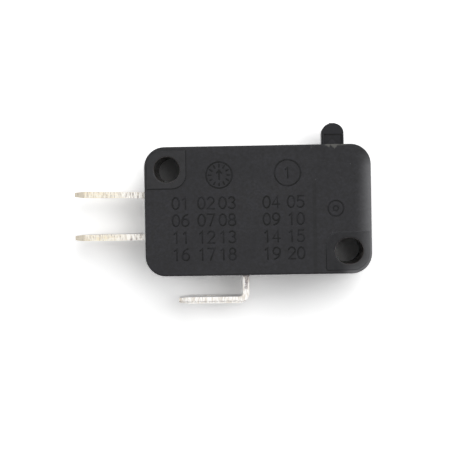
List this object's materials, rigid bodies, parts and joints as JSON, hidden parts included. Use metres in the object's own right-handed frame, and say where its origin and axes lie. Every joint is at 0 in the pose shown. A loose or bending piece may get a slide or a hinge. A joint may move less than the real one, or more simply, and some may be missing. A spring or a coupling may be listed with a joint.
{
  "type": "miniature snap-action switch",
  "caption": "Flat moulded snap-action switch with a rounded pin plunger on one edge, flat quick-connect tabs on two sides and a round and a slotted mounting hole.",
  "frame": {"origin": "axis of the round mounting hole, at the back face of the case", "axes": "+X along the case from the tab end to the plunger end, +Y the way the plunger stands out, +Z through the thickness from the back face to the cover"},
  "size_m": [0.0367, 0.0222, 0.0103],
  "materials": {
    "housing": "matte moulded thermoset",
    "plunger": "smooth moulded",
    "tab": "tin-plated, sheared edges",
    "contact": "silver-faced rivet",
    "arm": "bright copper alloy strip",
    "lever": "bright rolled strip",
    "spring": "drawn wire"
  },
  "bodies": {
    "housing": {"case": "housing", "cover": "housing", "common_terminal": "tab", "closed_terminal": "tab", "open_terminal": "tab", "closed_contact": "contact", "open_contact": "contact", "pivot_bracket": "lever"},
    "plunger": {"plunger": "plunger"},
    "lever": {"actuating_lever": "lever"},
    "arm": {"contact_arm": "arm", "moving_contact": "contact"},
    "spring": {"tension_spring": "spring"}
  },
  "joints": [
    {"name": "plunger_slide", "type": "slide", "parent": "housing", "child": "plunger", "axis": [0, -1, 0], "range_m": [0, 0.0019], "stiffness_N_per_m": 500, "springref_m": -0.002},
    {"name": "lever_pivot", "type": "hinge", "parent": "housing", "child": "lever", "pos_m": [0.0116, -0.003, 0.00515], "axis": [0, 0, 1], "range_deg": [-12.49, 0]},
    {"name": "arm_pivot", "type": "hinge", "parent": "housing", "child": "arm", "pos_m": [0.0153, -0.00514, 0.00515], "axis": [0, 0, 1], "range_deg": [0, 5.24]},
    {"name": "spring_pivot", "type": "hinge", "parent": "arm", "child": "spring", "pos_m": [0.0075, -0.00452, 0.00515], "axis": [0, 0, 1], "range_deg": [-8.1, 0]}
  ],
  "couplings": [
    {"joint": "lever_pivot", "follows": "plunger_slide", "rad_per_m": -114.59},
    {"joint": "arm_pivot", "follows": "plunger_slide", "rad_per_m": 48.025},
    {"joint": "spring_pivot", "follows": "plunger_slide", "rad_per_m": -74.304}
  ]
}
